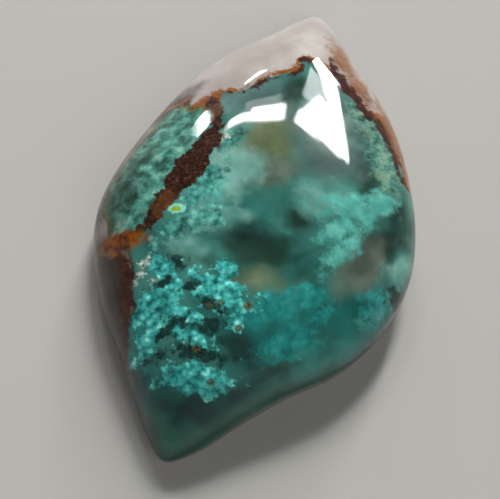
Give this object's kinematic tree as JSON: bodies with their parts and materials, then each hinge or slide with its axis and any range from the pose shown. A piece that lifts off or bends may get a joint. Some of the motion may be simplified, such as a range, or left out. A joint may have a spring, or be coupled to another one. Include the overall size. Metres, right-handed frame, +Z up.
{
  "type": "chrysocolla cabochon",
  "caption": "Leaf-shaped polished cabochon of blue-green chrysocolla in chalcedony, domed on its face and flat on its back.",
  "frame": {"origin": "middle of the flat back's bounding box, on the surface that the stone rests on", "axes": "+Z up out of the domed face, +Y along the stone from its near tip to its iron-stained far tip, +X to the right"},
  "size_m": [0.024, 0.0398, 0.0073],
  "materials": {
    "polished_chrysocolla": "polished"
  },
  "bodies": {
    "root": {"cabochon": "polished_chrysocolla"}
  },
  "joints": []
}
